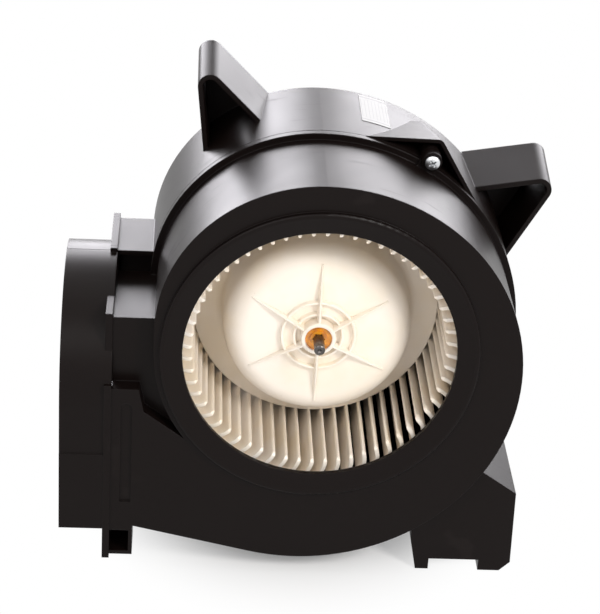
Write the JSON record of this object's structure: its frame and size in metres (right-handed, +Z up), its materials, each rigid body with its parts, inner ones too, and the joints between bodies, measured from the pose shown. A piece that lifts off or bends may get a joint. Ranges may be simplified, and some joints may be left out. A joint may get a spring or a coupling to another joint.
{
  "type": "dc blower fan",
  "caption": "Single-inlet centrifugal DC blower: two-part black scroll housing with flanged outlet, ivory forward-curved impeller on a brush motor behind the rear plate",
  "frame": {"origin": "bottom centre of the bounding box, level with the foot pads", "axes": "+Z up; the impeller's axis runs along Y with the inlet towards -Y and the motor towards +Y; the outlet looks towards -X"},
  "size_m": [0.2746, 0.159, 0.2748],
  "materials": {
    "housing_plastic": "black moulded polypropylene, satin with a grey sheen on faces turned to the light",
    "impeller_plastic": "ivory moulded nylon, smooth",
    "bush_plastic": "amber moulded bush and clip, smooth",
    "bright_steel": "turned and nickel plated",
    "zinc_plated_steel": "zinc plated, drawn",
    "sintered_bronze": "sintered, oiled",
    "ferrite": "sintered ferrite, dull",
    "core_steel": "stacked laminations",
    "copper": "enamelled copper",
    "brass": "stamped brass",
    "carbon": "carbon and copper, dull",
    "connector_plastic": "moulded, fine matte",
    "label_film": "blank white film"
  },
  "bodies": {
    "housing": {"front_housing": "housing_plastic", "rear_housing": "housing_plastic", "motor_can": "zinc_plated_steel", "motor_end_cap": "zinc_plated_steel", "motor_flange": "zinc_plated_steel", "front_bearing": "sintered_bronze", "rear_bearing": "sintered_bronze", "magnets": "ferrite", "magnet_springs": "bright_steel", "brush_plate": "connector_plastic", "brush_holders": "brass", "brushes": "carbon", "brush_springs": "bright_steel", "terminals": "brass", "connector_housing": "connector_plastic", "housing_screws": "bright_steel", "motor_screws": "bright_steel", "rating_label": "label_film"},
    "rotor": {"impeller": "impeller_plastic", "hub_bush": "bush_plastic", "shaft_clip": "bush_plastic", "motor_shaft": "bright_steel", "thrust_washers": "connector_plastic", "armature_core": "core_steel", "windings": "copper", "commutator": "copper"}
  },
  "joints": [
    {"name": "impeller_spin", "type": "hinge", "parent": "housing", "child": "rotor", "pos_m": [0.00425, 0, 0.1427], "axis": [0, 1, 0], "continuous": true}
  ]
}
